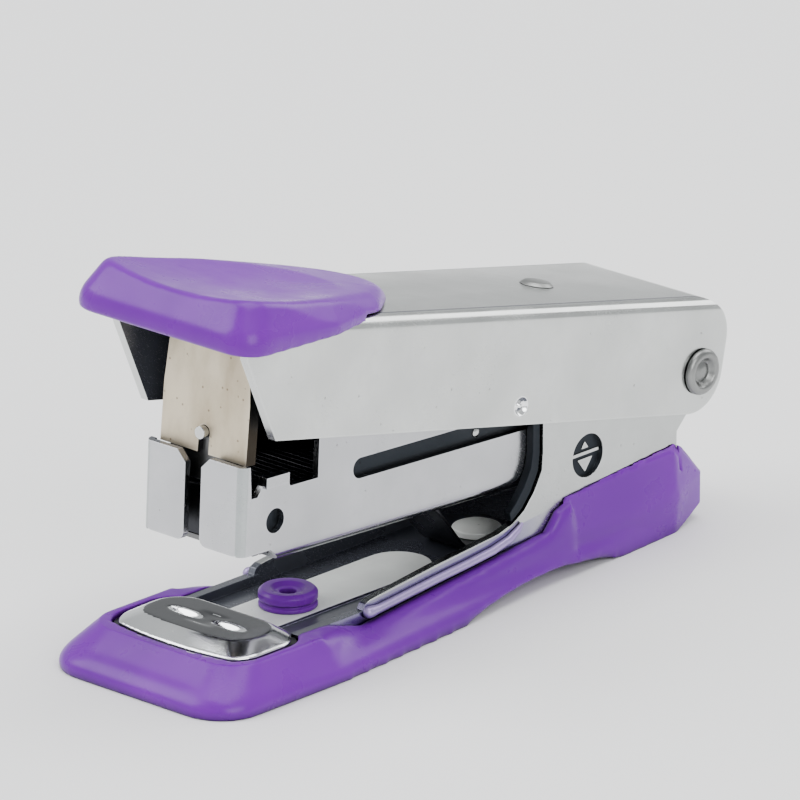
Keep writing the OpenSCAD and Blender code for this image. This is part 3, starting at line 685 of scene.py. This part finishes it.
# painted highlight: the upward faces on top of the walls near the front get the brighter plating
second_material(magazine, GLEAM, lambda c, n, _: n.z > 0.9 and abs(c.x) > mag_hw - 0.7 and c.y < -18)

# painted shade: near-black guide strips inside the long side slots, each with a small rivet, and near-black discs
# behind the cross hole, standing for the shade inside the magazine
guide = rounded([(-43, -2), (-16, -2), (-16, 0.55), (-43, 0.55)], 0.5)
hole_back = circle((-50.1, -3.05), 1.4)
prism("slot_shade_strips", [(guide, mag_hw - 0.86, mag_hw - 0.64), (hole_back, mag_hw - 0.71, mag_hw - 0.63)],
      IN_MAGAZINE, "magazine", SHADE_SHEET, slot="dark_steel")
for side, tag in ((1, "right"), (-1, "left")):
    lathe("guide_rivet_" + tag, [(0, 0), (0.42, 0), (0.4, 0.1), (0.25, 0.18), (0, 0.2)],
          IN_MAGAZINE @ Vector((side * (mag_hw - 0.66), -25.3, -0.8)) * MM, (side, 0, 0), "magazine",
          MATS["bright_plating"], steps=24)

# ---- handle ----

handle = refined("handle", MATS["bright_plating"], bevel=0.14, segments=3)
handle_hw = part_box("handle")[1][0] / MM


def shaded_in_handle(c, n, _):
    """Faces given painted shade: the sides' inner faces and the underside of the top; a painted dark reflection
    line along the start of the top's bends.
    """
    inner_face = abs(n.x) > 0.7 and n.x * c.x < 0 and abs(c.x) > handle_hw - 1
    underside = n.z < -0.7 and abs(c.x) < handle_hw - 0.9
    bend_line = 0.05 < abs(n.x) < 0.16 and n.z > 0.9
    return inner_face or underside or bend_line


second_material(handle, SHADED, shaded_in_handle)

# pressed dimples low on the sides, each with a raised point, in the brighter plating as painted highlight, and
# painted shade on the upper wall
dimple_profile = [(0, 0), (0.89, 0), (0.89, 0.33), (0.8, 0.32), (0.62, 0.12), (0.45, 0.04), (0.3, 0.1),
                  (0.18, 0.26), (0, 0.32)]
for side, tag in ((1, "right"), (-1, "left")):
    dimple_at = IN_HANDLE @ Vector((side * (handle_hw - 0.35), -22.6, -2.1)) * MM
    dimple = lathe("handle_dimple_" + tag, dimple_profile, dimple_at, (side, 0, 0), "handle", GLEAM, steps=32,
                   slot="bright_plating")
    second_material(dimple, SHADED, lambda c, n, _: n.z < -0.25 and abs(n.x) < 0.95)

plate = refined("driver_plate", MATS["warm_steel"])
# painted shade on the plate's side faces
second_material(plate, WING_SHADE, lambda c, n, _: abs(n.x) > 0.7)

anvil_lo, anvil_hi = (Vector(c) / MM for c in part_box("anvil_plate"))


def anvil_table(c, n, _):
    """The flat top between the pressed anvil's sloping edges, given a dark plating as a painted reflection."""
    return anvil_lo.y + 1.9 < c.y < anvil_hi.y - 1.2 and abs(c.x) < anvil_hi.x - 1.6 and n.z > 0.975


second_material(anvil, ANVIL_TOP, anvil_table)

# ---- the other parts ----

done = {n for ob in bpy.data.objects for n in ob.get("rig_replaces", [])}
for node in frame["nodes"]:
    if node not in done:
        refined(node, MATS[slot_of_node[node]])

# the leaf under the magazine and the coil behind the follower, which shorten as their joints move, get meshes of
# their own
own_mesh(bpy.data.objects["return_spring_look"])
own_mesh(bpy.data.objects["follower_spring_look"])


# ---- stage ----

floor_mesh = bpy.data.meshes.new("floor")
bm = bmesh.new()
bmesh.ops.create_grid(bm, x_segments=1, y_segments=1, size=3.0)
bm.to_mesh(floor_mesh)
bm.free()
floor = bpy.data.objects.new("floor", floor_mesh)
bpy.context.scene.collection.objects.link(floor)
fm = Nodes("floor")
fm.into("Base Color", fm.mix(fm.ramp(fm.noise(8), 0.3, 0.7), (0.86, 0.86, 0.86), (0.83, 0.83, 0.835)))
fm.into("Roughness", 0.6)
floor_mesh.materials.append(fm.mat)

centre = Vector([(a + b) / 2 for a, b in zip(*cad_box)])
AZ, EL, DIST, LENS = 42.9, 19.6, 0.887, 480.0  # degrees, degrees, metres and millimetres
a, e = math.radians(AZ), math.radians(EL)
back = Vector((math.sin(a) * math.cos(e), -math.cos(a) * math.cos(e), math.sin(e)))
cam = bpy.data.cameras.new("camera")
cam.lens = LENS
cam.sensor_width = 36
cam.clip_start = 0.01
cam_ob = bpy.data.objects.new("camera", cam)
bpy.context.scene.collection.objects.link(cam_ob)
cam_ob.location = centre + back * DIST
cam_ob.rotation_euler = back.to_track_quat("Z", "Y").to_euler()
bpy.context.scene.camera = cam_ob


def area(name, where, size, power):
    """A square soft light aimed at the middle of the object."""
    data = bpy.data.lights.new(name, "AREA")
    data.size = size
    data.energy = power
    ob = bpy.data.objects.new(name, data)
    bpy.context.scene.collection.objects.link(ob)
    ob.location = where
    ob.rotation_euler = (ob.location - centre).to_track_quat("Z", "Y").to_euler()


area("key", (-0.55, -0.45, 0.62), 0.6, 6.5)
area("fill", (0.75, -0.25, 0.45), 0.5, 4.0)
area("top", (0.0, 0.1, 0.9), 0.8, 9)
area("back", (0.1, 0.8, 0.5), 0.5, 3)

# the surround is brighter towards the horizon than above, which shows in the plating
world = bpy.data.worlds.new("world")
bpy.context.scene.world = world
world.use_nodes = True
wt = world.node_tree
bg = wt.nodes["Background"]
coord = wt.nodes.new("ShaderNodeTexCoord")
split = wt.nodes.new("ShaderNodeSeparateXYZ")
fade = wt.nodes.new("ShaderNodeMapRange")
fade.inputs["From Min"].default_value = 0.2
fade.inputs["From Max"].default_value = 0.6
tone = wt.nodes.new("ShaderNodeMix")
tone.data_type = "RGBA"
tone.inputs[6].default_value = (1.25, 1.28, 1.29, 1)
tone.inputs[7].default_value = (0.92, 0.94, 0.95, 1)
wt.links.new(coord.outputs["Generated"], split.inputs[0])
wt.links.new(split.outputs["Z"], fade.inputs["Value"])
wt.links.new(fade.outputs["Result"], tone.inputs[0])
wt.links.new(tone.outputs[2], bg.inputs["Color"])
bg.inputs["Strength"].default_value = 0.66
